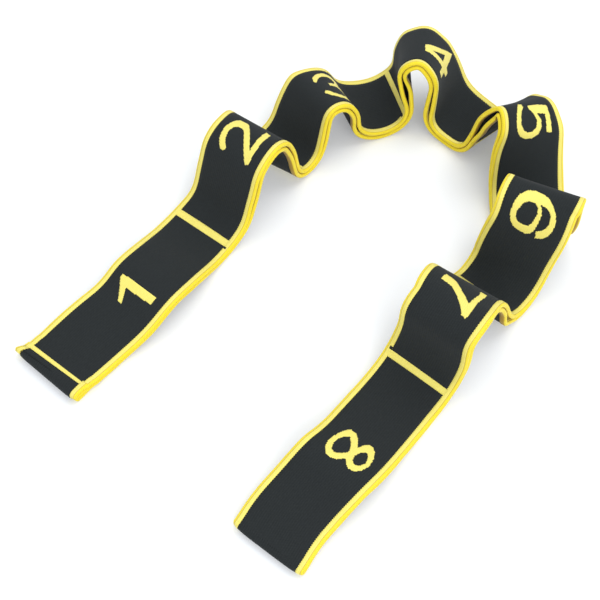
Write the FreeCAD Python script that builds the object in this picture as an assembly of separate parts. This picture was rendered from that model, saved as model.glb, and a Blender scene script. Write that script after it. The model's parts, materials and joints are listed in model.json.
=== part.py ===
"""Multi-loop stretching strap: two elastic plies, joined at seams into eight pockets.

The strap rests in a wavy U, most of its pockets standing up as arches between two seams. Every pocket is a body; the strap folds at the far side of each seam bar.
Lengths are in millimetres, +Z is up, and the origin is under the middle of the strap.
"""
import FreeCAD, Part
import bisect
import math
import os

V = FreeCAD.Vector

# ---- driving sizes ----
WIDTH = 40.0            # over both selvedges
SELVEDGE = 3.7          # width of each coloured edge
SELVEDGE_THICK = 2.5    # the edge is woven a little thicker than the face
SELVEDGE_ROUND = 0.9    # how much its outer corners are rounded off
PLY_THICK = 2.2         # one elastic ply
PLY_GAP = 0.2           # between the selvedges of the two plies
POCKET_PITCH = 112.0    # seam to seam, before the elastic gives
STARTS_AT = 0.8         # the first bar's place on the lay
BAR = 4.6               # woven bar that joins the plies
FOLD_ANGLE = 40.0       # each seam folds this far either way
FOLD_SPARE = 3.0        # extra degrees cut from the two sides of a fold line
FOLD_CLEAR = 0.15       # from the fold line to either side
HEM_LENGTH = 9.0        # the turned-over end stands out this far from the first bar
HEM_LIP = 1.6           # it lies over the first bar this far
HEM_RISE = 0.7          # and this thick
HEM_UNDER = 6.0         # it reaches this far under the strap
HEM_GAP = 0.45          # below the strap
LAY_PITCH = 112.0       # the pitch that the lay below was drawn for
EASE = 4.0              # the lay's bends are eased over this length either way
SECTION_STEP = 14.0     # a cross-section at least this often along a pocket
SECTION_TURN = 24.0     # and for every this many degrees of bend
SEAM_STRAIGHT = 6.5     # the strap is straight this far either side of a seam

# How far each pocket is stretched as the strap lies.
STRETCHES = (0.998, 0.984, 0.984, 1.012, 1.012, 1.012, 1.012, 1.015)

# ---- sizes that follow ----
HALF = WIDTH / 2
FACE_HALF = HALF - SELVEDGE
PROUD = (SELVEDGE_THICK - PLY_THICK) / 2
PLY_STEP = SELVEDGE_THICK + PLY_GAP
STACK = PLY_STEP + PLY_THICK
MID = -STACK / 2
BEVEL = math.tan(math.radians(FOLD_ANGLE / 2 + FOLD_SPARE))
POCKETS = len(STRETCHES)
SEAMS = [STARTS_AT + POCKET_PITCH * sum(STRETCHES[:seam]) for seam in range(POCKETS + 1)]

# How the strap lies: points on the middle of its upper face, the heading of the strap and
# the roll of its left edge, both in degrees. Each pocket's row starts at its first seam.
LAY = [
    (-118.5, -43.3, 6.6, 54, 0), (-101, -23, 7.2, 48, 5), (-88, -11, 11, 44, 2),
    (-78, 0, 17, 51, 1), (-68, 14, 14, 58, 2), (-58, 31, 6.5, 55, 1),

    (-51, 41, 5.8, 52, 0), (-43.5, 49, 11, 48, -3), (-39, 56, 27, 48, -2), (-35, 61, 41, 49, -4),
    (-27.5, 70, 47, 53, -6), (-20.5, 79.5, 42, 52, -3), (-17.5, 84.5, 30, 55, -2), (-16, 86, 12, 59, -1),

    (-12, 91.5, 6.2, 53, -1), (-5.5, 99, 7.5, 45, -2), (0, 106, 22, 38, -3), (7, 111, 34, 31, -8),
    (16, 116.5, 32.5, 28, -12), (23, 120, 25, 27, -5), (27, 122, 13, 20, 0), (34, 124.5, 7.9, 17, 3),

    (48, 129.5, 6.9, 16, 1), (54.5, 131, 14, 10, -2), (53.5, 132, 28, 2, -4), (56, 133, 43, -10, -12),
    (66.5, 132.5, 48, -11, -15), (75.5, 129, 41, -11, -9), (80.5, 127, 26, -23, -2), (85, 124, 10, -37, 0),

    (93, 118, 5.8, -43, 0), (101, 109, 7, -47, -3), (107, 105.5, 22.5, -50, -10), (111, 100.5, 36, -56, -14),
    (118, 94, 44, -60, -22), (121.5, 83, 38, -66, -19), (121, 75, 23, -77, -8), (121, 64, 9, -87, -1),

    (121, 52, 5.5, -90, 0), (121, 43, 8, -93, 0), (121, 37, 24, -101, 0), (121, 37, 42, -108, -3),
    (119, 31, 52, -111, -4), (114, 22, 53, -113, -6), (112, 14.5, 42, -111, -11), (109, 12.5, 25.5, -115, -9),
    (104, 8.5, 10.5, -124, -4),

    (95, 0.5, 6, -132, 1), (89, -6, 14.5, -128, 1), (83, -12, 31, -125, 0), (76, -23, 46, -126, -3),
    (70, -34, 50, -130, 4), (63, -42, 43, -131, 4), (61.5, -44, 26, -129, -1), (56, -47, 9, -128, -3),

    (49, -55, 5.5, -129, 0), (36, -73, 7.1, -127, -1), (24, -89, 12, -128, -1), (15, -99, 15, -132, -4),
    (4, -110, 9, -134, -1), (-16, -135, 5.5, -126, 0),
]

# Where the plies stand apart: pocket, distance from its first seam, half length, how far.
PARTED = [
    (2, 80, 24, 0.5), (3, 22, 18, 0.6), (4, 24, 17, 1.7), (4, 78, 26, 1.0),
    (5, 26, 18, 2.2), (6, 27, 20, 0.8), (7, 13, 10, 2.0), (8, 59, 45, 0.5),
]


def between(places, rows, place):
    """The row at a place, in a straight line between the two rows next to it."""
    i = min(max(bisect.bisect_right(places, place) - 1, 0), len(places) - 2)
    share = (place - places[i]) / (places[i + 1] - places[i])
    return [a + (b - a) * share for a, b in zip(rows[i], rows[i + 1])]


def measured(rows):
    """The distance of each row from the first, along the rows' points."""
    lengths = [0.0]
    for a, b in zip(rows, rows[1:]):
        lengths.append(lengths[-1] + math.dist(a[:3], b[:3]))
    return lengths


class Lay:
    """A smooth line through the lay points, eased at its bends and measured along its length."""

    STEPS = 3000

    def __init__(self, rows, ease):
        self.columns = list(zip(*rows))
        self.knots = [0.0]
        for a, b in zip(rows, rows[1:]):
            self.knots.append(self.knots[-1] + math.dist(a[:3], b[:3]) ** 0.75)
        self.slopes = [self._slopes(column) for column in self.columns]
        last = self.knots[-1]
        drawn = [self._drawn(last * i / self.STEPS) for i in range(self.STEPS + 1)]
        lengths = measured(drawn)
        self.rows = []
        for length in lengths:
            reach = min(ease, length, lengths[-1] - length)
            near = [between(lengths, drawn, length + reach * k / 2) for k in range(-2, 3)]
            self.rows.append([sum(column) / len(near) for column in zip(*near)])
        self.lengths = measured(self.rows)

    def _slopes(self, values):
        t = self.knots
        steps = [b - a for a, b in zip(t, t[1:])]
        rates = [(b - a) / h for a, b, h in zip(values, values[1:], steps)]
        inner = [
            (r0 * h1 + r1 * h0) / (h0 + h1)
            for r0, r1, h0, h1 in zip(rates, rates[1:], steps, steps[1:])
        ]
        return [rates[0], *inner, rates[-1]]

    def _drawn(self, u):
        t = self.knots
        i = min(max(bisect.bisect_right(t, u) - 1, 0), len(t) - 2)
        h = t[i + 1] - t[i]
        a = (u - t[i]) / h
        return [
            (1 + 2 * a) * (1 - a) ** 2 * v[i] + a * (1 - a) ** 2 * h * m[i]
            + a * a * (3 - 2 * a) * v[i + 1] + a * a * (a - 1) * h * m[i + 1]
            for v, m in zip(self.columns, self.slopes)
        ]

    def _row(self, s):
        return between(self.lengths, self.rows, s)

    def frame(self, s):
        """Where the face's middle is at length s, with its forward, left and up directions."""
        inside = min(max(s, 0.0), self.lengths[-1])
        row = self._row(inside)
        ahead = V(*self._row(min(inside + 0.3, self.lengths[-1]))[:3])
        behind = V(*self._row(max(inside - 0.3, 0.0))[:3])
        forward = (ahead - behind).normalize()
        heading, roll = (math.radians(angle) for angle in row[3:])
        left = V(-math.sin(heading) * math.cos(roll), math.cos(heading) * math.cos(roll), math.sin(roll))
        left = (left - forward * left.dot(forward)).normalize()
        return Frame(V(*row[:3]) + forward * (s - inside), forward, left)


class Frame:
    def __init__(self, point, forward, left):
        self.point, self.forward, self.left = point, forward, left
        self.up = forward.cross(left)

    def at(self, ahead, across, above):
        return self.point + self.forward * ahead + self.left * across + self.up * above

    def level(self):
        """The same place and heading, lying flat."""
        forward = V(self.forward.x, self.forward.y, 0).normalize()
        return Frame(self.point, forward, V(-forward.y, forward.x, 0))


LAY_SCALE = POCKET_PITCH / LAY_PITCH
LINE = Lay([(*(LAY_SCALE * c for c in row[:3]), *row[3:]) for row in LAY], EASE)


def seam_frame(seam):
    """The frame in the middle of a seam bar. Both ends of the strap lie level."""
    frame = LINE.frame(SEAMS[seam])
    return frame.level() if seam in (0, POCKETS) else frame


def stations(pocket):
    """Where the cross-sections of a pocket stand, closer together where it bends more."""
    first, last = SEAM_STRAIGHT, SEAMS[pocket] - SEAMS[pocket - 1] - SEAM_STRAIGHT
    count = round(last - first)
    places = [first + (last - first) * i / count for i in range(count + 1)]
    forwards = [LINE.frame(SEAMS[pocket - 1] + place).forward for place in places]
    effort = [0.0]
    for i in range(count):
        turned = math.degrees(forwards[i].getAngle(forwards[i + 1]))
        effort.append(effort[-1] + (places[i + 1] - places[i]) / SECTION_STEP + turned / SECTION_TURN)
    spans = math.ceil(effort[-1])
    chosen = [bisect.bisect_left(effort, effort[-1] * i / spans) for i in range(spans)]
    return [places[i] for i in chosen] + [last]


STATIONS = {pocket: stations(pocket) for pocket in range(1, POCKETS + 1)}


def parting(pocket, along):
    """How far the lower ply hangs away from the upper one."""
    total = 0.0
    for which, middle, reach, most in PARTED:
        if which == pocket and abs(along - middle) < reach:
            total += most * math.cos(math.pi / 2 * (along - middle) / reach) ** 2
    return total


# ---- cross-sections: points (across, above) ----
def face_section():
    return [(-FACE_HALF, 0), (FACE_HALF, 0), (FACE_HALF, -PLY_THICK), (-FACE_HALF, -PLY_THICK)]


def selvedge_section(side):
    top, bottom = PROUD, PROUD - SELVEDGE_THICK
    r = SELVEDGE_ROUND
    outline = [
        (FACE_HALF, top), (HALF - r, top), (HALF, top - r),
        (HALF, bottom + r), (HALF - r, bottom), (FACE_HALF, bottom),
    ]
    return [(side * across, above) for across, above in outline]


def bevel_back(above):
    """How far a side of the fold line stands back from it at this height."""
    return FOLD_CLEAR + abs(above - MID) * BEVEL


def ring(frame, section, ahead, drop=0.0):
    """A section set in a frame. ahead is a distance, or a function of the height."""
    points = []
    for across, above in section:
        height = above - drop
        shift = ahead(height) if callable(ahead) else ahead
        points.append(frame.at(shift, across, height))
    return points


def loft(section, rings):
    """A solid through rings of one section, with flat triangles between them.

    Every quad is split from its right or lower corner, so that neighbours match."""
    size = len(section)
    points = [point for section in rings for point in section]
    triangles = [(0, k + 1, k) for k in range(1, size - 1)]
    for i in range(len(rings) - 1):
        here, there = i * size, (i + 1) * size
        for k in range(size):
            after = (k + 1) % size
            if section[k] < section[after]:
                triangles.append((here + k, here + after, there + after))
                triangles.append((here + k, there + after, there + k))
            else:
                triangles.append((here + k, here + after, there + k))
                triangles.append((here + after, there + after, there + k))
    last = (len(rings) - 1) * size
    triangles += [(last, last + k, last + k + 1) for k in range(1, size - 1)]
    shell = Part.Shape()
    shell.makeShapeFromMesh((points, triangles), 0.001)
    solid = Part.Solid(shell)
    if solid.Volume < 0:
        solid.reverse()
    return solid.removeSplitter()


def first_ahead(pocket):
    """Where a pocket's plies start in the frame of its first seam."""
    if pocket == 1:
        return BAR / 2
    return lambda height: BAR / 2 + bevel_back(height)


def run(pocket, section, level, to_fold_line):
    """One ply or selvedge along a pocket. level 0 is the upper ply and 1 the lower.

    A face stops at the seam bar. A selvedge goes on beside the bar to the fold line."""
    drop = level * PLY_STEP
    start, end = seam_frame(pocket - 1), seam_frame(pocket)
    begin = first_ahead(pocket)
    if to_fold_line and pocket == 1:
        begin = -BAR / 2
    rings = [ring(start, section, begin, drop)]
    if to_fold_line and pocket == 1:
        rings.append(ring(start, section, BAR / 2, drop))
    for along in STATIONS[pocket]:
        frame = LINE.frame(SEAMS[pocket - 1] + along)
        apart = parting(pocket, along) if level else 0.0
        rings.append(ring(frame, section, 0.0, drop + apart))
    rings.append(ring(end, section, -BAR / 2, drop))
    if to_fold_line and pocket < POCKETS:
        rings.append(ring(end, section, lambda height: BAR / 2 - bevel_back(height), drop))
    return loft(section, rings)


def prism(frame, outline, right, left):
    """A side outline of points (ahead, above), carried across the strap."""
    points = [frame.at(ahead, right, above) for ahead, above in outline]
    face = Part.Face(Part.makePolygon([*points, points[0]]))
    return face.extrude(frame.left * (left - right))


def seam_bar(seam):
    """The woven bar that joins the plies, with its far side cut back for the fold."""
    far = [(BAR / 2 - bevel_back(above), above) for above in (0.0, MID, -STACK)]
    outline = [(-BAR / 2, 0.0), *far, (-BAR / 2, -STACK)]
    return prism(seam_frame(seam), outline, -FACE_HALF, FACE_HALF)


def start_bar():
    outline = [(-BAR / 2, 0.0), (BAR / 2, 0.0), (BAR / 2, -STACK), (-BAR / 2, -STACK)]
    return prism(seam_frame(0), outline, -FACE_HALF, FACE_HALF)


def turned_start(inner_top, inner_bottom, rise, right, left):
    """The first end of the strap, turned under. It holds the strap's end from behind.

    The strap's end fits between inner_top and inner_bottom, and the underside is on the floor."""
    frame = seam_frame(0)
    floor = -frame.point.z
    radius = (rise - floor) / 2
    centre = -BAR / 2 + HEM_LIP - HEM_LENGTH + radius
    points = {
        "lip": (-BAR / 2 + HEM_LIP, rise),
        "over": (centre, rise),
        "nose": (centre - radius, rise - radius),
        "under": (centre, floor),
        "tip": (HEM_UNDER, floor),
        "tip top": (HEM_UNDER, inner_bottom),
        "low corner": (-BAR / 2, inner_bottom),
        "high corner": (-BAR / 2, inner_top),
        "lip low": (-BAR / 2 + HEM_LIP, inner_top),
    }
    place = {name: frame.at(ahead, right, above) for name, (ahead, above) in points.items()}
    arc = Part.Arc(place["over"], place["nose"], place["under"]).toShape()
    straight = ["under", "tip", "tip top", "low corner", "high corner", "lip low", "lip", "over"]
    lines = [Part.makeLine(place[a], place[b]) for a, b in zip(straight, straight[1:])]
    face = Part.Face(Part.Wire([arc, *lines]))
    return face.extrude(frame.left * (left - right))


def folded_end(gap, rise, right, left):
    """The last end of the strap: a ply turned back on itself round a small gap."""
    frame = seam_frame(POCKETS)
    outer = rise - MID
    inner = gap / 2

    def at(ahead, above):
        return frame.at(ahead, right, MID + above)

    back = -BAR / 2
    edges = [
        Part.Arc(at(0, outer), at(outer, 0), at(0, -outer)).toShape(),
        Part.makeLine(at(0, -outer), at(back, -outer)),
        Part.makeLine(at(back, -outer), at(back, -inner)),
        Part.makeLine(at(back, -inner), at(0, -inner)),
        Part.Arc(at(0, -inner), at(inner, 0), at(0, inner)).toShape(),
        Part.makeLine(at(0, inner), at(back, inner)),
        Part.makeLine(at(back, inner), at(back, outer)),
        Part.makeLine(at(back, outer), at(0, outer)),
    ]
    face = Part.Face(Part.Wire(edges))
    return face.extrude(frame.left * (left - right))


def ends():
    """The hem at the start, the fold at the last end and the selvedges that turn with them."""
    hem = turned_start(0.0, -STACK - HEM_GAP, HEM_RISE, -FACE_HALF, FACE_HALF)
    fold = folded_end(2 * PROUD + PLY_GAP, 0.0, -FACE_HALF, FACE_HALF)
    start_selvedges = []
    end_selvedges = []
    for side in (-1, 1):
        right, left = sorted((side * FACE_HALF, side * HALF))
        piece = turned_start(PROUD, PROUD - PLY_STEP - SELVEDGE_THICK - HEM_GAP, HEM_RISE, right, left)
        start_selvedges.append(piece)
        piece = folded_end(PLY_GAP, PROUD, right, left)
        end_selvedges.append(piece)
    return {
        "start_hem": hem,
        "start_selvedge_ends": Part.Compound(start_selvedges),
        "end_fold": fold,
        "end_selvedge_folds": Part.Compound(end_selvedges),
    }


def build():
    nodes = {}
    for pocket in range(1, POCKETS + 1):
        for level, name in enumerate(("upper", "lower")):
            nodes[f"loop_{pocket}_{name}_ply"] = run(pocket, face_section(), level, False)
            nodes[f"loop_{pocket}_{name}_selvedges"] = Part.Compound(
                [run(pocket, selvedge_section(side), level, True) for side in (-1, 1)]
            )
    for seam in range(1, POCKETS):
        nodes[f"seam_bar_{seam}_{seam + 1}"] = seam_bar(seam)
    nodes["start_bar"] = start_bar()
    nodes.update(ends())
    box = Part.Compound(list(nodes.values())).optimalBoundingBox(False)
    to_origin = V(-box.Center.x, -box.Center.y, -box.ZMin)
    for shape in nodes.values():
        shape.translate(to_origin)
    return nodes


def main():
    nodes = build()
    os.makedirs("parts", exist_ok=True)
    for name, shape in nodes.items():
        shape.exportStep(f"parts/{name}.step")


main()
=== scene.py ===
"""The look of the stretching strap: woven plies, selvedges, bars, hem and numerals.

Lengths in the tables are millimetres, as in the part's source. Meshes are in metres.
"""

import json
import math

import bpy
import numpy as np
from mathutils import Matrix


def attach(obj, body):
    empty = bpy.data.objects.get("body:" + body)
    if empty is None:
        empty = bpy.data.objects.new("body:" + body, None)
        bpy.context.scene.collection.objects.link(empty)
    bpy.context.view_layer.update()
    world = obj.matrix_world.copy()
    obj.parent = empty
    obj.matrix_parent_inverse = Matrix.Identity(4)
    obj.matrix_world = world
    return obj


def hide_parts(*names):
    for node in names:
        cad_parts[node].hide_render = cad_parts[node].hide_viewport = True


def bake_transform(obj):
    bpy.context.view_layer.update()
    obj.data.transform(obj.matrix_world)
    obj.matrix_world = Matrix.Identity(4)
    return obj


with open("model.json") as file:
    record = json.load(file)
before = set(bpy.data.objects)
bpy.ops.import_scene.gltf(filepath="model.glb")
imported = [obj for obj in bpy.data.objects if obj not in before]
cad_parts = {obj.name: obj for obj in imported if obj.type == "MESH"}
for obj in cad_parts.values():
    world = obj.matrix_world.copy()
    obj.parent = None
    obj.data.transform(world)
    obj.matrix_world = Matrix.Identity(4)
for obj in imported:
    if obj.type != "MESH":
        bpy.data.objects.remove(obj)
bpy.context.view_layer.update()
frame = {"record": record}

# ---- sizes, as in the part ----
HALF = 20.0
PLY_THICK = 2.2
SELVEDGE_THICK = 2.5
PLY_STEP = 2.7
STACK = PLY_STEP + PLY_THICK
MID = -STACK / 2
BAR = 4.6
PITCH = 112.0
STARTS_AT = 0.8
STRETCHES = (0.998, 0.984, 0.984, 1.012, 1.012, 1.012, 1.012, 1.015)
POCKETS = len(STRETCHES)
SEAMS = [STARTS_AT + PITCH * sum(STRETCHES[:seam]) for seam in range(POCKETS + 1)]
HEM_RISE = 0.7
HEM_UNDER = 6.0
EASE = 4.0
KNOT_POWER = 0.75  # spaces the knots of the drawn line
HEADING_STEP = 0.3  # each side of a place, to find which way the line runs

# ---- sizes that the look has alone, or draws closer to the photograph than the part does ----
FACE_HALF = 16.8
RING_STEP = 1.0
SHIFT_REACH = (1.5, 6.0)  # SWAY and RISE are averaged over this much each side, least and most
END_RING = 0.15  # the extra ring just inside each end of a length
FACE_LAP = 0.1  # the face runs this far under the selvedges
CORD_FROM = 17.0  # a selvedge's uneven width starts here
CORD_SWELL = 0.1
SELVEDGE_WAVE = 0.036
BAR_LIFT = 0.045  # above the upper face and below the lower one
BAR_LAP = 0.2  # over the selvedges
BAR_TOOTH = 0.12
NOTCH_LONG = 1.5
NOTCH_UNDER_BAR = 0.1
NOTCH_OUT = 1.2  # from the edge of the face over the selvedge
NOTCH_IN = 0.2  # from the edge of the face back over it
NOTCH_LIFT = 0.18
SLAB_THICK = 0.3
NUMERAL_LIFT = 0.05
NUMERAL_REACH = 15.96  # its cells cover this much each side of its middle
CELL = 0.42
STROKE_TRIM = 0.16  # a cell's middle lies this far inside a stroke
HEM_LENGTH = 6.5
HEM_LIP = 1.1
HEM_SKEW = 0.055
HEM_BEYOND = -1.6  # past here the hem's edges follow its taper
HEM_SHORTER = 0.6
HEM_TAPER = 1.2
HEM_FLARE = 2.6
HEM_FLARE_FROM = -1.2
HEM_FLARE_RUN = 3.5
HEM_FLARE_ACROSS = 34.0
FOLD_DRAW = 1.3  # how far the last fold's corners draw in

# How the strap lies, loop by loop: points on the middle of its upper face, heading, roll.
LAY = [
    (-118.5, -43.3, 6.6, 54, 0), (-101, -23, 7.2, 48, 5), (-88, -11, 11, 44, 2),
    (-78, 0, 17, 51, 1), (-68, 14, 14, 58, 2), (-58, 31, 6.5, 55, 1),

    (-51, 41, 5.8, 52, 0), (-43.5, 49, 11, 48, -3), (-39, 56, 27, 48, -2), (-35, 61, 41, 49, -4),
    (-27.5, 70, 47, 53, -6), (-20.5, 79.5, 42, 52, -3), (-17.5, 84.5, 30, 55, -2),
    (-16, 86, 12, 59, -1),

    (-12, 91.5, 6.2, 53, -1), (-5.5, 99, 7.5, 45, -2), (0, 106, 22, 38, -3), (7, 111, 34, 31, -8),
    (16, 116.5, 32.5, 28, -12), (23, 120, 25, 27, -5), (27, 122, 13, 20, 0),
    (34, 124.5, 7.9, 17, 3),

    (48, 129.5, 6.9, 16, 1), (54.5, 131, 14, 10, -2), (53.5, 132, 28, 2, -4),
    (56, 133, 43, -10, -12), (66.5, 132.5, 48, -11, -15), (75.5, 129, 41, -11, -9),
    (80.5, 127, 26, -23, -2), (85, 124, 10, -37, 0),

    (93, 118, 5.8, -43, 0), (101, 109, 7, -47, -3), (107, 105.5, 22.5, -50, -10),
    (111, 100.5, 36, -56, -14), (118, 94, 44, -60, -22), (121.5, 83, 38, -66, -19),
    (121, 75, 23, -77, -8), (121, 64, 9, -87, -1),

    (121, 52, 5.5, -90, 0), (121, 43, 8, -93, 0), (121, 37, 24, -101, 0), (121, 37, 42, -108, -3),
    (119, 31, 52, -111, -4), (114, 22, 53, -113, -6), (112, 14.5, 42, -111, -11),
    (109, 12.5, 25.5, -115, -9), (104, 8.5, 10.5, -124, -4),

    (95, 0.5, 6, -132, 1), (89, -6, 14.5, -128, 1), (83, -12, 31, -125, 0),
    (76, -23, 46, -126, -3), (70, -34, 50, -130, 4), (63, -42, 43, -131, 4),
    (61.5, -44, 26, -129, -1), (56, -47, 9, -128, -3),

    (49, -55, 5.5, -129, 0), (36, -73, 7.1, -127, -1), (24, -89, 12, -128, -1),
    (15, -99, 15, -132, -4), (4, -110, 9, -134, -1), (-16, -135, 5.5, -126, 0),
]

# Where the lower ply hangs away from the upper one: pocket, place along it, reach, most.
PARTED = [
    (2, 32, 26, 0.7), (2, 80, 24, 0.5), (3, 22, 18, 0.6), (3, 84, 22, 0.6), (4, 16, 15, 1.9),
    (4, 78, 26, 1.1), (5, 25, 24, 2.8), (6, 27, 20, 0.8), (7, 13, 10, 2.0), (8, 59, 45, 0.5),
]

# How far the webbing lies to the left of that line: distance along it, shift.
SWAY = [
    (0, 1.9), (2, 0), (60, -0.5), (100, 0.1), (125, 0.5), (145, -0.4), (168, 0), (187, 1.3),
    (208, 0.4), (230, 0), (246, -0.8), (267, 1.0), (290, 0), (309, -0.8), (326, 0), (345, 0.9),
    (378, 1.2), (405, 0.3), (425, -0.8), (446, 0), (477, 0.9), (497, 0), (518, -0.5), (545, 0),
    (573, 0.8), (597, 1.1), (612, 1.6), (632, -1.1), (652, -1.7), (670, -0.3), (694, 0.5),
    (720, 0), (750, -0.3), (772, 0), (793, 1.0), (820, 0.2), (852, 0.7), (871, 0), (887, -0.6),
    (900, 1.2),
]

# How far it lies above that line: the far sides of loops 5, 6 and 7 stand a little fuller.
RISE = [
    (498, 0), (510, 1.8), (524, 0), (583, 0), (602, 2.6), (617, 0), (696, 0), (712, 1.8), (728, 0),
]

# Where the bars' first and last edges lie, before and after the seam: at the left, at the right.
BAR_EDGES = {
    0: ((-1.7, 0.1), (0.9, 1.8)), 1: ((-2.5, -2.7), (0.8, 2.5)), 3: ((-4.4, -1.7), (-1.0, 2.2)),
    6: ((2.4, 2.2), (6.3, 6.2)), 7: ((-4.2, -1.9), (-0.2, 1.5)),
}
BAR_EDGE_PLAIN = ((-2.1, -1.9), (1.9, 2.1))
UNSTEPPED = 6  # the seam whose bar has no black step before it

# The plane that each seam's two sides part at: azimuth, elevation, width, distance past the seam.
SEAM_TURNS = {
    1: (52, 34, 16, 0.5), 2: (52, -21, 14, 0), 3: (17, 43, 15, -3), 4: (-46, 21, 15, -2),
    5: (-90, 35, 16, -2.3), 6: (-130, 6, 16, -0.5), 7: (-135, -35, 16, -0.8),
}


# ---- the line that the strap lies on ----
def measured(rows):
    steps = np.linalg.norm(np.diff(rows[:, :3], axis=0), axis=1)
    return np.concatenate([[0], np.cumsum(steps)])


def along(lengths, rows, s):
    return np.stack([np.interp(s, lengths, column) for column in rows.T], 1)


class Lay:
    """A smooth line through the rows of a table, with a heading and a roll all along it."""

    STEPS = 3000

    def __init__(self, rows, ease, sway=((0, 0), (1, 0))):
        points = np.array(rows, float)
        gaps = np.linalg.norm(np.diff(points[:, :3], axis=0), axis=1) ** KNOT_POWER
        knots = np.concatenate([[0], np.cumsum(gaps)])
        rates = np.diff(points, axis=0) / gaps[:, None]
        before, after = gaps[:-1, None], gaps[1:, None]
        inner = (rates[:-1] * after + rates[1:] * before) / (before + after)
        slopes = np.vstack([rates[:1], inner, rates[-1:]])
        u = np.linspace(0, knots[-1], self.STEPS + 1)
        i = np.clip(np.searchsorted(knots, u, side="right") - 1, 0, len(knots) - 2)
        h = gaps[i][:, None]
        a = (u - knots[i])[:, None] / h
        drawn = (
            (1 + 2 * a) * (1 - a) ** 2 * points[i] + a * (1 - a) ** 2 * h * slopes[i]
            + a * a * (3 - 2 * a) * points[i + 1] + a * a * (a - 1) * h * slopes[i + 1]
        )
        lengths = measured(drawn)
        reach = np.minimum(ease, np.minimum(lengths, lengths[-1] - lengths))
        near = [along(lengths, drawn, lengths + reach * k / 2) for k in range(-2, 3)]
        self.rows = sum(near) / len(near)
        self.lengths = measured(self.rows)
        self.sway = sway

    def at(self, s):
        return along(self.lengths, self.rows, s)

    def frames(self, s):
        """Points, forward, left and up directions at lengths s, which may run past the ends."""
        s = np.asarray(s, float)
        inside = np.clip(s, 0, self.lengths[-1])
        rows = self.at(inside)
        ahead = self.at(np.minimum(inside + HEADING_STEP, self.lengths[-1]))[:, :3]
        behind = self.at(np.maximum(inside - HEADING_STEP, 0))[:, :3]
        forward = unit(ahead - behind)
        heading, roll = np.radians(rows[:, 3]), np.radians(rows[:, 4])
        left = np.stack(
            [-np.sin(heading) * np.cos(roll), np.cos(heading) * np.cos(roll), np.sin(roll)], 1
        )
        left = unit(left - forward * np.sum(left * forward, 1)[:, None])
        reach = np.clip(inside, *SHIFT_REACH)
        aside, rise = (
            sum(np.interp(inside + reach * k, *zip(*table)) for k in (-1, -0.5, 0, 0.5, 1)) / 5
            for table in (self.sway, RISE)
        )
        points = rows[:, :3] + forward * (s - inside)[:, None] + left * aside[:, None]
        points[:, 2] += rise
        return Frames(points, forward, left)


def unit(v):
    return v / np.linalg.norm(v, axis=-1, keepdims=True)


class Frames:
    """Points on the line, each with its forward, left and up directions."""

    def __init__(self, points, forward, left):
        self.points, self.forward, self.left = points, forward, left
        self.up = np.cross(forward, left)

    def level(self):
        """The same points with the directions turned level with the floor."""
        flat = unit(self.forward * (1, 1, 0))
        return Frames(self.points, flat, np.stack([-flat[:, 1], flat[:, 0], 0 * flat[:, 0]], 1))

    def at(self, ahead, across, above):
        """One point for each frame, or for each of the given places in a single frame."""
        ahead, across, above = (np.asarray(v, float)[..., None] for v in (ahead, across, above))
        return self.points + self.forward * ahead + self.left * across + self.up * above


LINE = Lay(LAY, EASE, SWAY)
STILL = Lay(LAY, EASE)

# The part's origin is under its middle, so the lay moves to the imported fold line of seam 1.
joints = frame["record"]["behaviour"]["joints"]
packed_fold = next(joint for joint in joints if joint["name"] == "seam_1_2_fold")
drawn_fold = STILL.frames([SEAMS[1]]).at(BAR / 2, 0.0, MID)[0]
SHIFT = np.array(packed_fold["pos_m"]) * 1000 - drawn_fold


def parting(s):
    """How far the lower ply hangs away from the upper one."""
    s = np.asarray(s, float)
    total = np.zeros_like(s)
    for pocket, middle, reach, most in PARTED:
        off = (s - SEAMS[pocket - 1] - middle) / reach
        total += np.where(np.abs(off) < 1, most * np.cos(np.pi / 2 * np.clip(off, -1, 1)) ** 2, 0)
    return total


def ripple(s, t, seed):
    """A slow unevenness of hand-laid webbing, from -1 to 1."""
    return (
        np.sin(0.21 * s + 1.7 * seed) + np.sin(0.083 * s + 0.13 * t + 2.9 * seed)
        + 0.6 * np.sin(0.47 * s - 0.09 * t + 0.8 * seed)
    ) / 2.6


# ---- mesh making ----
def make(name, points, faces, uvs, material, body):
    """A piece on one body, or on no body where body is (seam, its turn)."""
    mesh = bpy.data.meshes.new(name)
    mesh.from_pydata([tuple(p) for p in (points + SHIFT) / 1000], [], faces)
    layer = mesh.uv_layers.new(name="Strap")
    loops = np.empty(len(mesh.loops), int)
    mesh.loops.foreach_get("vertex_index", loops)
    layer.data.foreach_set("uv", (np.asarray(uvs, float)[loops] / 1000).ravel())
    mesh.polygons.foreach_set("use_smooth", [len(face) < 9 for face in faces])
    mesh.materials.append(material)
    mesh.update()
    thing = bpy.data.objects.new(name, mesh)
    bpy.context.scene.collection.objects.link(thing)
    if isinstance(body, int):
        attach(thing, f"loop_{body}")
    else:
        centre, (azimuth, elevation, width, past) = body
        seam = (LINE.frames([SEAMS[centre]]).points[0] + SHIFT) / 1000
        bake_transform(thing)
    return thing


def tube(name, rings, u, v, material, body, turned=False):
    """A closed solid through rings (places, corners, 3). u runs along it and v round it.

    turned swaps u and v, so that the weave runs the other way.
    """
    count, corners = rings.shape[:2]
    points = rings.reshape(-1, 3)
    faces = []
    for i in range(count - 1):
        for k in range(corners):
            a, b = i * corners + k, i * corners + (k + 1) % corners
            faces.append((a, b, b + corners, a + corners))
    faces.append(tuple(range(corners - 1, -1, -1)))
    faces.append(tuple(range((count - 1) * corners, count * corners)))
    uvs = np.stack([np.repeat(u, corners), np.tile(v, count)], 1)
    if turned:
        uvs = uvs[:, ::-1]
    return make(name, points, faces, uvs, material, body)


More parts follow.
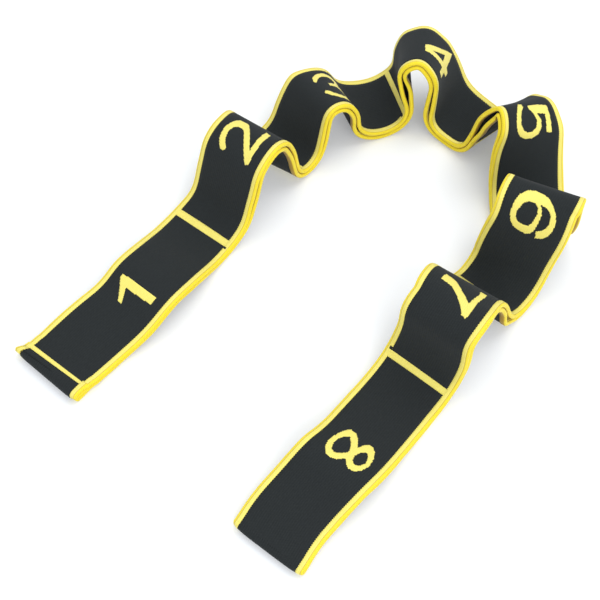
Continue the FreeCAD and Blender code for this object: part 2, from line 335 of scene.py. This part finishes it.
def slab(name, flat, net, frames, above, material, body):
    """A thin closed piece woven into the upper face: a net of faces, its underside and its rim."""
    n = len(flat)
    top = frames.points + frames.left * flat[:, 1:] + frames.up * above
    points = np.concatenate([top, top - frames.up * SLAB_THICK])
    edges = {(a, b) for face in net for a, b in zip(face, face[1:] + face[:1])}
    faces = net + [tuple(k + n for k in face[::-1]) for face in net]
    faces += [(a, a + n, b + n, b) for a, b in sorted(edges) if (b, a) not in edges]
    piece = make(name, points, faces, np.concatenate([flat, flat]), material, body)


def places(start, end):
    """Where the rings from start to end lie, with one more just inside each end."""
    count = max(2, round((end - start) / RING_STEP) + 1)
    just_inside = (start + END_RING, end - END_RING)
    return np.unique(np.concatenate([np.linspace(start, end, count), just_inside]))


# ---- cross-sections: points (across, above), clockwise seen from behind ----
def face_section():
    across = np.linspace(-FACE_HALF - FACE_LAP, FACE_HALF + FACE_LAP, 15)
    top = [(t, 0.0) for t in across]
    bottom = [(t, -PLY_THICK) for t in across[::-1]]
    return np.array(top + bottom)


def selvedge_section():
    """The left edge of a ply: a ribbed flat, a fine groove, then a round cord along the side."""
    r = SELVEDGE_THICK / 2
    points = [(FACE_HALF - 0.15, 0.02), (FACE_HALF + 0.1, 0.14), (FACE_HALF + 0.9, 0.11)]
    points += [(18.5, 0.15), (18.68, 0.06), (18.8, -0.12)]
    for k in range(13):
        a = math.radians(72 - 162 * k / 12)
        points.append((HALF - r + r * math.cos(a), 0.15 - r + r * math.sin(a)))
    points += [(FACE_HALF + 1.2, 0.15 - 2 * r), (FACE_HALF - 0.15, 0.17 - 2 * r)]
    return np.array(points)


def perimeter(section):
    """How far each corner of a section is from its first one, measured along it."""
    return np.concatenate([[0], np.cumsum(np.linalg.norm(np.diff(section, axis=0), axis=1))])


def sweep(frames, section, lift, swell=None):
    """Rings of a section along frames. lift moves each ring up, swell widens it outwards."""
    across = np.repeat(section[None, :, 0], len(frames.points), 0)
    above = section[None, :, 1] + np.asarray(lift, float)[:, None]
    if swell is not None:
        across = across + swell
    return (
        frames.points[:, None] + frames.left[:, None] * across[..., None]
        + frames.up[:, None] * above[..., None]
    )


# Round a selvedge, its groove and the underside of its cord, where painted shade is put, measured
# from its inner edge.
SIDE_FROM = perimeter(selvedge_section())[5]
SIDE_TO = perimeter(selvedge_section())[18]


# ---- materials ----
def linear(r, g, b):
    """A linear colour from three values of 0 to 255 as a screen shows them."""
    def one(c):
        c /= 255
        return c / 12.92 if c <= 0.04045 else ((c + 0.055) / 1.055) ** 2.4

    return (one(r), one(g), one(b), 1.0)


BLACK = linear(26, 29, 30)
BLACK_RIB = linear(46, 50, 51)
# PALE_WITH_PAINTED_SHEEN is partly painted sheen: the yellow made paler than the yarn is in shade,
# standing for the whitening of flats in the light.
PALE_WITH_PAINTED_SHEEN = linear(240, 229, 122)
PALE_RIB = linear(238, 211, 70)
RICH = linear(245, 226, 42)
RICH_RIB = linear(240, 206, 24)
# AMBER_PAINTED_SHADE is painted shade, for the selvedges' grooves and the undersides of their
# cords.
AMBER_PAINTED_SHADE = linear(172, 126, 10)
WHITE = (1, 1, 1, 1)
FLOOR = (0.775, 0.79, 0.812, 1.0)
FLOOR_GLOW = 0.19


class Nodes:
    """A small helper that adds and links shader nodes."""

    def __init__(self, name):
        self.material = bpy.data.materials.new(name)
        self.material.use_nodes = True
        self.tree = self.material.node_tree
        self.tree.nodes.clear()
        self.output = self.tree.nodes.new("ShaderNodeOutputMaterial")

    def add(self, kind, inputs=None, **settings):
        node = self.tree.nodes.new(kind)
        for key, value in settings.items():
            setattr(node, key, value)
        for key, value in (inputs or {}).items():
            if isinstance(value, bpy.types.NodeSocket):
                self.tree.links.new(value, node.inputs[key])
            else:
                node.inputs[key].default_value = value
        return node

    def math(self, operation, a, b=0.0):
        return self.add("ShaderNodeMath", {0: a, 1: b}, operation=operation).outputs[0]

    def mix(self, factor, a, b):
        node = self.add("ShaderNodeMix", data_type="RGBA")
        sockets = {"Factor": node.inputs[0], "A": node.inputs[6], "B": node.inputs[7]}
        for key, value in (("Factor", factor), ("A", a), ("B", b)):
            if isinstance(value, bpy.types.NodeSocket):
                self.tree.links.new(value, sockets[key])
            else:
                sockets[key].default_value = value
        return node.outputs[2]

    def surface(self, colour, height, distance, roughness, sheen, specular=0.15):
        bump = self.add("ShaderNodeBump", {"Strength": 0.6, "Distance": distance, "Height": height})
        shader = self.add(
            "ShaderNodeBsdfPrincipled",
            {
                "Base Color": colour, "Normal": bump.outputs[0], "Roughness": roughness,
                "Sheen Weight": sheen, "Sheen Roughness": 0.5, "Specular IOR Level": specular,
            },
        )
        self.tree.links.new(shader.outputs[0], self.output.inputs[0])
        return self.material


def weave(nodes, along_pitch, across_pitch):
    """Rounded threads of a plain weave, from 0 to 1, and the strap's own coordinates in mm."""
    uv = nodes.add("ShaderNodeUVMap", uv_map="Strap").outputs[0]
    parts = nodes.add("ShaderNodeSeparateXYZ", {0: uv})
    along = nodes.math("MULTIPLY", parts.outputs[0], 1000.0)
    across = nodes.math("MULTIPLY", parts.outputs[1], 1000.0)
    row = nodes.math("SINE", nodes.math("MULTIPLY", along, 2 * math.pi / along_pitch))
    column = nodes.math("SINE", nodes.math("MULTIPLY", across, 2 * math.pi / across_pitch))
    threads = nodes.math("MULTIPLY", row, column)
    ribs = nodes.math("MULTIPLY", column, 0.6)
    height = nodes.math("MULTIPLY", nodes.math("ADD", threads, ribs), 0.3)
    return nodes.math("ADD", height, 0.5), along, across


def mottle(nodes, scale):
    place = nodes.add("ShaderNodeTexCoord").outputs["Object"]
    return nodes.add(
        "ShaderNodeTexNoise", {"Vector": place, "Scale": scale, "Detail": 3.0, "Roughness": 0.6}
    ).outputs[0]


def black_webbing(name, fringed):
    """The fine black weave. The plies' edges are also fringed by the yellow threads beside them."""
    nodes = Nodes(name)
    height, along, across = weave(nodes, along_pitch=0.9, across_pitch=1.15)
    woven = nodes.math("MULTIPLY", height, 0.55)
    tone = nodes.math("ADD", woven, nodes.math("MULTIPLY", mottle(nodes, 900), 0.5))
    colour = nodes.mix(tone, BLACK, BLACK_RIB)
    if fringed:
        tooth = nodes.math("MULTIPLY", nodes.math("PINGPONG", along, 0.55), 0.9)
        reach = nodes.math("ADD", nodes.math("ABSOLUTE", across), tooth)
        colour = nodes.mix(nodes.math("GREATER_THAN", reach, FACE_HALF + 0.1), colour, PALE_WITH_PAINTED_SHEEN)
    return nodes.surface(colour, height, distance=0.00012, roughness=0.9, sheen=0.05)


def smooth_step(nodes, value, start, end):
    """0 at the start, rising smoothly to 1 at the end."""
    return nodes.add(
        "ShaderNodeMapRange", {0: value, 1: start, 2: end, 3: 0.0, 4: 1.0},
        interpolation_type="SMOOTHSTEP",
    ).outputs[0]


def band(nodes, value, middle, reach):
    """1 at the middle, falling to 0 at the reach on either side."""
    off = nodes.math("ABSOLUTE", nodes.math("SUBTRACT", value, middle))
    return smooth_step(nodes, off, reach, 0.25 * reach)


def yellow_webbing(name, side):
    """The pale flat weave, its paleness partly painted sheen. A selvedge also has the rich cord of
    its side, which leaves the paler flat beside it as a painted highlight, and painted shade in its
    groove and under its cord.
    """
    nodes = Nodes(name)
    height, along, around = weave(nodes, along_pitch=1.1, across_pitch=0.95)
    speck = nodes.math("MULTIPLY", mottle(nodes, 420), 0.6)
    rib = nodes.math("MULTIPLY", height, nodes.math("ADD", speck, 0.25))
    colour = nodes.mix(rib, PALE_WITH_PAINTED_SHEEN, PALE_RIB)
    if side:
        slant = nodes.math("ADD", along, nodes.math("MULTIPLY", around, 0.5))
        cord = nodes.math("PINGPONG", slant, 0.5)
        rich = nodes.mix(nodes.math("MULTIPLY", cord, 1.4), RICH, RICH_RIB)
        # Painted highlight: the flat keeps the paler colour and only the side's cord has the rich
        # yellow.
        outside = smooth_step(nodes, around, SIDE_FROM - 0.1, SIDE_FROM + 0.5)
        colour = nodes.mix(outside, colour, rich)
        # Painted shade: the fine groove darkened towards amber.
        groove = nodes.math("MULTIPLY", band(nodes, around, SIDE_FROM, 0.28), 0.55)
        colour = nodes.mix(groove, colour, AMBER_PAINTED_SHADE)
        # Painted shade: the underside of the cord and of the selvedge, where it meets the ply or
        # floor below, darkened towards amber.
        below = nodes.math("MULTIPLY", smooth_step(nodes, around, SIDE_TO - 0.9, SIDE_TO), 0.85)
        colour = nodes.mix(below, colour, AMBER_PAINTED_SHADE)
        height = nodes.math("ADD", height, nodes.math("MULTIPLY", cord, 0.5))
    return nodes.surface(
        colour, height, distance=0.00025, roughness=0.55, sheen=0.1, specular=0.35
    )


def floor_material():
    """A matte floor that looks a little brighter than it is, and lights nothing."""
    nodes = Nodes("pale_floor")
    diffuse = nodes.add("ShaderNodeBsdfDiffuse", {"Color": FLOOR})
    path = nodes.add("ShaderNodeLightPath")
    seen = nodes.math("MAXIMUM", path.outputs["Is Camera Ray"], path.outputs["Is Glossy Ray"])
    seen = nodes.math("MAXIMUM", seen, path.outputs["Is Transmission Ray"])
    strength = nodes.math("MULTIPLY", seen, FLOOR_GLOW)
    glow = nodes.add("ShaderNodeEmission", {"Color": WHITE, "Strength": strength})
    both = nodes.add("ShaderNodeAddShader", {0: diffuse.outputs[0], 1: glow.outputs[0]})
    nodes.tree.links.new(both.outputs[0], nodes.output.inputs[0])
    return nodes.material


BLACK_WEBBING = black_webbing("black_elastic", True)
NOTCH_WEBBING = black_webbing("black_elastic_plain", False)
EDGE_WEBBING = yellow_webbing("yellow_selvedge", True)
BAR_WEBBING = yellow_webbing("yellow_jacquard", False)


# ---- the plies and their selvedges, one length for each seam ----
def strap_length(seam):
    """Both plies and their selvedges, from the middle of one pocket to the middle of the next."""
    first = SEAMS[0] - BAR / 2 if seam == 1 else (SEAMS[seam - 1] + SEAMS[seam]) / 2
    last = SEAMS[-1] if seam == POCKETS - 1 else (SEAMS[seam] + SEAMS[seam + 1]) / 2
    s = places(first, last)
    frames = LINE.frames(s)
    body = (seam, SEAM_TURNS[seam])
    pockets = [seam, seam + 1]
    tag = f"{seam}_{seam + 1}"
    face = face_section()
    face_v = face[:, 0]
    edge = selvedge_section()
    edge_v = perimeter(edge)
    for level, which in enumerate(("upper", "lower")):
        drop = -level * (PLY_STEP + parting(s))
        wave = SELVEDGE_WAVE * ripple(s, 0.0, 3 + level)
        rings = sweep(frames, face, drop)
        ply = tube(f"{which}_ply_{tag}", rings, s, face_v, BLACK_WEBBING, body)
        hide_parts(*(f"loop_{k}_{which}_ply" for k in pockets))
        for side, hand in ((1, "left"), (-1, "right")):
            section = edge * (side, 1)
            uneven = CORD_SWELL * ripple(s, 0.0, 5 + side + 2 * level)
            swell = side * uneven[:, None] * (edge[:, 0] > CORD_FROM)[None]
            rings = sweep(frames, section, drop + wave, swell)
            if side < 0:
                rings = rings[:, ::-1]
            v = edge_v if side > 0 else edge_v[::-1]
            piece = tube(f"{which}_{hand}_selvedge_{tag}", rings, s, v, EDGE_WEBBING, body)
            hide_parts(*(f"loop_{k}_{which}_selvedges" for k in pockets))


for seam in range(1, POCKETS):
    strap_length(seam)


# ---- bars ----
def bar(name, seam, body, node):
    """A woven bar through both plies, with the fine teeth that the weave leaves at its sides."""
    across = np.linspace(-FACE_HALF - BAR_LAP, FACE_HALF + BAR_LAP, 69)
    teeth = BAR_TOOTH * (np.arange(len(across)) % 2)
    start, end = (
        SEAMS[seam] + np.interp(across, (-FACE_HALF, FACE_HALF), edge[::-1])
        for edge in BAR_EDGES.get(seam, BAR_EDGE_PLAIN)
    )
    shares = np.linspace(0, 1, 5)
    rows = []
    for above in (BAR_LIFT, -STACK - BAR_LIFT):
        for share in shares:
            s = start + teeth + (end - start - 2 * teeth) * share
            frames = LINE.frames(s)
            rows.append((frames.points + frames.left * across[:, None] + frames.up * above, s))
    count = len(across)
    points = np.concatenate([row[0] for row in rows])
    uvs = np.stack([np.concatenate([row[1] for row in rows]), np.tile(across, len(rows))], 1)
    faces = []
    n = len(shares)
    for i in range(n - 1):
        for k in range(count - 1):
            a = i * count + k
            faces.append((a, a + count, a + count + 1, a + 1))
            b = (n + i) * count + k
            faces.append((b, b + 1, b + count + 1, b + count))
    for k in range(count - 1):
        a, b = k, n * count + k
        faces.append((a, a + 1, b + 1, b))
        a, b = (n - 1) * count + k, (2 * n - 1) * count + k
        faces.append((a, b, b + 1, a + 1))
    for k, order in ((0, 1), (count - 1, -1)):
        upper = [i * count + k for i in range(n)]
        lower = [(n + i) * count + k for i in range(n - 1, -1, -1)]
        faces.append(tuple((upper + lower)[::order]))
    piece = make(name, points, faces, uvs, BAR_WEBBING, body)
    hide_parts(node)


def notch(seam, body):
    """The black step that the weave leaves in the right selvedge just before a bar."""
    edge = SEAMS[seam] + BAR_EDGES.get(seam, BAR_EDGE_PLAIN)[0][1]
    start, end = edge - NOTCH_LONG, edge + NOTCH_UNDER_BAR
    left, right = -FACE_HALF + NOTCH_IN, -FACE_HALF - NOTCH_OUT
    flat = np.array([(start, left), (start, right), (end, right), (end, left)])
    frames = LINE.frames(flat[:, 0])
    name = f"notch_{seam}_{seam + 1}"
    slab(name, flat, [(0, 1, 2, 3)], frames, NOTCH_LIFT, NOTCH_WEBBING, body)


bar("bar_start", 0, 1, "start_bar")


# ---- the ends ----
def along_path(base, path):
    """Frames that follow a path of (ahead, above) points in the plane of one frame."""
    path = np.array(path, float)
    steps = np.gradient(path, axis=0)
    steps /= np.linalg.norm(steps, axis=1)[:, None]
    points = base.at(path[:, 0], 0 * path[:, 0], path[:, 1])
    forward = base.forward * steps[:, :1] + base.up * steps[:, 1:]
    left = np.repeat(base.left, len(path), 0)
    lengths = np.concatenate([[0], np.cumsum(np.linalg.norm(np.diff(path, axis=0), axis=1))])
    return Frames(points, forward, left), lengths


def arc(centre, radius, start, end, count):
    """Points on an arc from one angle to another, in degrees."""
    angles = np.radians(np.linspace(start, end, count))
    return [(centre[0] + radius * math.cos(a), centre[1] + radius * math.sin(a)) for a in angles]


START = LINE.frames([SEAMS[0]]).level()
START.forward, START.left = (
    unit(START.forward + HEM_SKEW * START.left), unit(START.left - HEM_SKEW * START.forward)
)
END = LINE.frames([SEAMS[-1]])
hem_floor = -START.points[0, 2]
hem_radius = (HEM_RISE - hem_floor) / 2
hem_centre = -BAR / 2 + HEM_LIP - HEM_LENGTH + hem_radius


def hem_taper(across):
    """The roll is narrower towards the left."""
    return HEM_SHORTER + HEM_TAPER * across / FACE_HALF


def hem_flare(ahead, across):
    """Beyond the bar the roll also runs out a little to the left."""
    beyond = np.clip((HEM_FLARE_FROM - ahead) / HEM_FLARE_RUN, 0, 1)
    leftward = np.clip(0.5 + across / HEM_FLARE_ACROSS, 0, 1)
    return HEM_FLARE * beyond * leftward ** 2


def hem():
    """The black roll at the start: its outline carried across, thinner towards its two ends."""
    lip = -BAR / 2 + HEM_LIP
    outline = [(lip - 0.25, 0.45), (lip - 0.8, HEM_RISE - 0.05), (lip - 1.7, HEM_RISE)]
    outline += arc((hem_centre, HEM_RISE - hem_radius), hem_radius, 90, 270, 24)
    outline += [(HEM_UNDER, hem_floor), (HEM_UNDER, hem_floor + 1.2), (-BAR / 2, -STACK - 0.3)]
    outline += [(-BAR / 2, 0.05), (lip, 0.08)]
    outline = np.array(outline)
    across = np.linspace(-FACE_HALF, FACE_HALF, 34)
    rings = []
    for t in across:
        pinch = 0.35 * (abs(t) / FACE_HALF) ** 8
        dent = 0.12 * math.sin(0.55 * t + 0.4) + 0.08 * math.sin(1.3 * t)
        points = outline.copy()
        outer = (points[:, 0] < lip - 0.4) & (points[:, 1] > hem_floor + 0.4)
        points[points[:, 0] < hem_centre, 0] += hem_taper(t)
        points[outer, 1] -= (pinch + 0.5 * dent) * (points[outer, 1] > -3)
        points[outer, 0] += pinch
        rings.append(START.at(points[:, 0], t + hem_flare(points[:, 0], t), points[:, 1]))
    rings = np.array(rings)
    round_it = perimeter(outline)
    piece = tube("hem_roll", rings, across, round_it, BLACK_WEBBING, 1, turned=True)
    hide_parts("start_hem")


def ribbon(name, base, path, section, body, node, material, slot, corner=0, aside=None):
    """A section carried along a path in the plane of one frame.

    corner draws the path in towards the webbing's sides, and aside shifts it to the left.
    """
    frames, lengths = along_path(base, path)
    rings = sweep(frames, section, 0 * lengths)
    if aside is not None:
        rings += base.left * np.array([aside(a, section[0, 0]) for a, _ in path])[:, None, None]
    ahead = np.maximum(np.array(path)[:, 0], 0) / STACK * 2
    back = corner * ahead[:, None] * np.abs(section[:, 0] / HALF) ** 6
    rings -= base.forward * back[..., None]
    v = section[:, 0] if slot == "black_webbing" else perimeter(section)
    if np.mean(section[:, 0]) < -1:
        rings, v = rings[:, ::-1], v[::-1]
    piece = tube(name, rings, lengths, v, material, body)
    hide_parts(node)


def hem_edges():
    """The upper selvedge lies over the hem's end. The lower one turns under below it."""
    edge = selvedge_section() * (1, 0.9)
    over = [(1.6, 0.03), (0.6, 0.12), (-0.5, 0.35), (-1.5, HEM_RISE - 0.1), (-3.2, HEM_RISE)]
    over += arc((-4.9, HEM_RISE - 2.6), 2.6, 92, 172, 12)
    turn = (-1.9 - hem_floor) / 2
    under = [(3.0, -2.65), (0.5, -2.4), (-2.0, -2.0)]
    under += arc((-4.2, -1.9 - turn), turn, 90, 268, 16)
    under += [(-1.0, hem_floor + 0.02), (2.0, hem_floor + 0.02), (HEM_UNDER, hem_floor + 0.02)]
    for side, hand in ((1, "left"), (-1, "right")):
        shorter = hem_taper(side * FACE_HALF)
        for part, path in (("edge", over), ("core", under)):
            path = [(a + shorter if a < HEM_BEYOND else a, b) for a, b in path[::-1]]
            ribbon(
                f"hem_{hand}_{part}", START, path, edge * (side, 1), 1, "start_selvedge_ends",
                EDGE_WEBBING, "yellow_webbing", aside=hem_flare,
            )


def fold():
    """The last end: each ply turns back into the other."""
    radius = STACK / 2
    path = [(-0.6, 0.0), (0.0, 0.0)] + arc((0, -radius), radius, 88, -88, 18) + [(0.0, -STACK)]
    face = face_section() * (1, 0.98)
    ribbon(
        "end_roll", END, path, face, 8, "end_fold", BLACK_WEBBING, "black_webbing", FOLD_DRAW
    )
    for side, hand in ((1, "left"), (-1, "right")):
        section = selvedge_section() * (side, 0.96)
        ribbon(
            f"end_{hand}_edge", END, path, section, 8, "end_selvedge_folds",
            EDGE_WEBBING, "yellow_webbing", FOLD_DRAW,
        )


hem()
hem_edges()
fold()

# ---- numerals, woven in cells of the jacquard ----
# Outlines and holes as (along the strap, to its left) about the numeral's middle, millimetres.
NUMERALS = {
    1: [[(6.2, 11.3), (3.4, 11.3), (-7, 4), (-6.8, 1.3), (0.9, 5.1), (2, -11.6), (6.6, -11.6)]],
    2: [
        [(-11, 6.1), (-11.2, 7.5), (-9.1, 9.7), (-6.2, 11.5), (-2.8, 12.4), (0.9, 12.8),
         (5.1, 12.3), (8.4, 11.3), (11.3, 9.4), (10.8, 4), (-3.3, -7.7), (11.8, -6.3),
         (10.1, -10.3), (-9.9, -11.5), (-10.7, -9.2), (4.3, 2.8), (5, 4.8), (4.8, 7.2), (3.4, 8.4),
         (-0.3, 9.2), (-4.5, 8.2), (-7.2, 6.3), (-8.8, 4.7), (-10.3, 5.2)],
    ],
    3: [
        [(-10, 6.9), (-8.8, 9.9), (-6.3, 12.3), (-2.4, 13.7), (2, 14), (6.3, 12.8), (9.3, 10),
         (9.2, 6.4), (6.4, 3.4), (9.8, 0.9), (10.8, -3.2), (9.2, -7.4), (5.2, -10.5), (0, -11.7),
         (-4.5, -11.3), (-8.2, -8.5), (-10.4, -4.6), (-8.8, -2.9), (-6.9, -3.8), (-5.5, -6.2),
         (-2.8, -7.9), (0.8, -8.1), (4.6, -6.6), (6.4, -3.6), (5.6, -0.6), (2.8, 0.9), (-2.7, 0.9),
         (-2.1, 4), (2.8, 4.4), (5.2, 6.6), (5, 9), (2.2, 10.4), (-2, 10.4), (-5, 9.1), (-7.2, 7),
         (-8.8, 5.6)],
    ],
    4: [
        [(7.3, 14), (9.5, 15.4), (9.3, 9), (8.7, 3.6), (12.2, 2.6), (11.2, -1.2), (7.4, -1.9),
         (5.4, -8.4), (1, -8.4), (2.5, -2.8), (-12.3, -5.4), (-12.8, 1)],
        [(3, 7.5), (2.4, 1.5), (-7.6, -0.6)],
    ],
    5: [
        [(-8.7, 13.2), (7.2, 11.7), (7, 8), (-3.7, 9.4), (-4.5, 4.2), (-0.8, 6), (3.3, 5.5),
         (7.2, 3.2), (9.2, -1), (8.8, -5.2), (6.8, -8.5), (3, -10.7), (-1.2, -11.2), (-5.8, -10),
         (-9.5, -7.8), (-11.8, -5.5), (-11.2, -3.3), (-8.8, -3.7), (-6.6, -6), (-3.5, -7.5),
         (0.1, -7.7), (3.4, -6.2), (5, -3.5), (4.8, -0.6), (2.8, 1.8), (-0.8, 2.8), (-4.1, 1.8),
         (-6.3, 0.5), (-7.8, -0.8), (-9.7, -0.2), (-9.9, 6.5)],
    ],
    6: [
        [(11.4, 3.8), (10.3, 7.2), (8, 9.7), (4.7, 11.2), (0.7, 11.5), (-3.3, 10.7), (-7.7, 8.6),
         (-11, 5.5), (-12, 1.9), (-12, -2), (-10.5, -5.8), (-7.8, -8.8), (-4.1, -10.6),
         (0.1, -11.2), (4.5, -10.3), (8, -8.3), (9.8, -5.3), (10.6, -1.4), (9.8, 0.7), (7.6, 2.3),
         (3.5, 3.3), (-1.2, 4.2), (-4.5, 3.6), (-6.1, 2.5), (-5.7, 4.8), (-4.5, 6.7), (-1.5, 8.3),
         (2.2, 8.4), (4.8, 7.2), (6.3, 5.2), (7.2, 3.2)],
        [(-6.2, -1.4), (-5.9, 0.2), (-4.5, 1.3), (-1.5, 1.8), (3.5, 0.2), (5.3, -1.2), (5.2, -3.9),
         (4.3, -6.4), (1.8, -7.8), (-1.5, -7.7), (-5.2, -5.6), (-6.2, -3.1)],
    ],
    7: [
        [(-13.2, 11.3), (-10.3, 11.7), (-0.3, 10.4), (9.7, 10), (9.5, 7.2), (-2.4, -3.9),
         (-3.5, -6.8), (-4.1, -10.8), (-10.3, -10.3), (-9.7, -6.8), (-8.3, -3.5), (3, 6.7),
         (-7, 8.2), (-13.2, 7.9)],
    ],
    8: [
        [(-0.1, 12.4), (-4.5, 11.5), (-7.8, 9.7), (-9.8, 7.3), (-9.7, 5.3), (-7.7, 3.3), (-4.8, 2),
         (-8.8, -0.6), (-11.2, -3.3), (-11.3, -6.4), (-9, -8.2), (-5.2, -9.6), (-0.8, -10.3),
         (3, -10.2), (6.8, -8.8), (9.2, -6.5), (9.5, -3.5), (8, -0.6), (4.5, 2.1), (6.7, 4),
         (7.6, 6.3), (7, 8.8), (4.3, 11.3)],
        [(-5.2, 6.8), (-3.3, 8.8), (-0.3, 9.9), (2.7, 8.8), (3.9, 6.8), (2.7, 4.9), (0, 4),
         (-3.2, 4.8)],
        [(-7, -4.2), (-4.5, -2), (-0.6, 0.3), (1.1, 0.1), (3.8, -1.5), (5.8, -4), (5, -6.1),
         (1.5, -7.4), (-2, -7.3), (-5.3, -6.2)],
    ],
}
NUMERAL_PLACES = {1: 52.0, 2: 168.0, 3: 280.2, 4: 387.8, 5: 497.5, 6: 620.8, 7: 730.7, 8: 842.2}


def inside(x, y, outlines):
    """Whether points lie in the numeral: inside its outline and outside its holes."""
    hit = np.zeros(x.shape, bool)
    for outline in outlines:
        for (ax, ay), (bx, by) in zip(outline, outline[1:] + outline[:1]):
            if ay != by:
                crosses = (y > min(ay, by)) & (y <= max(ay, by))
                hit ^= crosses & (x < ax + (y - ay) * (bx - ax) / (by - ay))
    return hit


def numeral(digit):
    """A numeral in whole cells: those that lie in its strokes with a little to spare."""
    middle = NUMERAL_PLACES[digit]
    grid = np.arange(-NUMERAL_REACH, NUMERAL_REACH, CELL)
    x, y = np.meshgrid(grid + CELL / 2, grid + CELL / 2, indexing="ij")
    around = ((STROKE_TRIM, 0), (-STROKE_TRIM, 0), (0, STROKE_TRIM), (0, -STROKE_TRIM))
    cells = np.all([inside(x + a, y + b, NUMERALS[digit]) for a, b in around], axis=0)
    index, points, faces = {}, [], []
    for i, k in zip(*np.nonzero(cells)):
        corners = []
        for a, b in ((i, k), (i + 1, k), (i + 1, k + 1), (i, k + 1)):
            if (a, b) not in index:
                index[a, b] = len(points)
                points.append((middle + grid[0] + a * CELL, grid[0] + b * CELL))
            corners.append(index[a, b])
        faces.append(tuple(corners))
    flat = np.array(points)
    frames = STILL.frames(flat[:, 0])
    name = f"numeral_{digit}"
    slab(name, flat, faces, frames, NUMERAL_LIFT, BAR_WEBBING, digit)


for digit in NUMERALS:
    numeral(digit)

for seam in range(1, POCKETS):
    name = f"bar_{seam}_{seam + 1}"
    bar(name, seam, (seam, SEAM_TURNS[seam]), f"seam_{name}")
    if seam != UNSTEPPED:
        notch(seam, (seam, SEAM_TURNS[seam]))


# ---- floor, light and camera: metres, but for the camera's place in the part's millimetres ----
FLOOR_SIZE = 6
FLOOR_BELOW = 0.0002
SKY = (0.94, 0.97, 1.0, 1.0)
SKY_STRENGTH = 0.84
LAMP_POWER = 11
CAMERA_PLACE = (0, -340.85, 519.86)
CAMERA_DOWN = 56.75

bpy.ops.mesh.primitive_plane_add(size=FLOOR_SIZE, location=(0, 0, -FLOOR_BELOW))
floor = bpy.context.object
floor.name = "floor"
floor.data.materials.append(floor_material())

world = bpy.data.worlds.new("studio")
bpy.context.scene.world = world
world.use_nodes = True
background = world.node_tree.nodes["Background"]
background.inputs[0].default_value = SKY
background.inputs[1].default_value = SKY_STRENGTH


def lamp(name, place, size):
    """A round softbox that faces the origin."""
    data = bpy.data.lights.new(name, "AREA")
    data.shape = "DISK"
    data.size = size
    data.energy = LAMP_POWER
    thing = bpy.data.objects.new(name, data)
    bpy.context.scene.collection.objects.link(thing)
    thing.location = place
    way = -np.array(place)
    azimuth = math.atan2(way[1], way[0])
    tilt = math.atan2(math.hypot(way[0], way[1]), -way[2])
    thing.rotation_euler = (tilt, 0, azimuth - math.pi / 2)


lamp("softbox_above", place=(0.5, 0.45, 1.6), size=1.5)
lamp("softbox_front", place=(0.4, -1.3, 1.0), size=1.3)

camera_data = bpy.data.cameras.new("camera")
camera_data.lens = 73.27
camera_data.sensor_width = 36
camera = bpy.data.objects.new("camera", camera_data)
bpy.context.scene.collection.objects.link(camera)
camera.location = tuple((np.array(CAMERA_PLACE) + SHIFT) / 1000)
camera.rotation_euler = (math.radians(90 - CAMERA_DOWN), 0, 0)
bpy.context.scene.camera = camera
bpy.context.scene.view_settings.view_transform = "Standard"
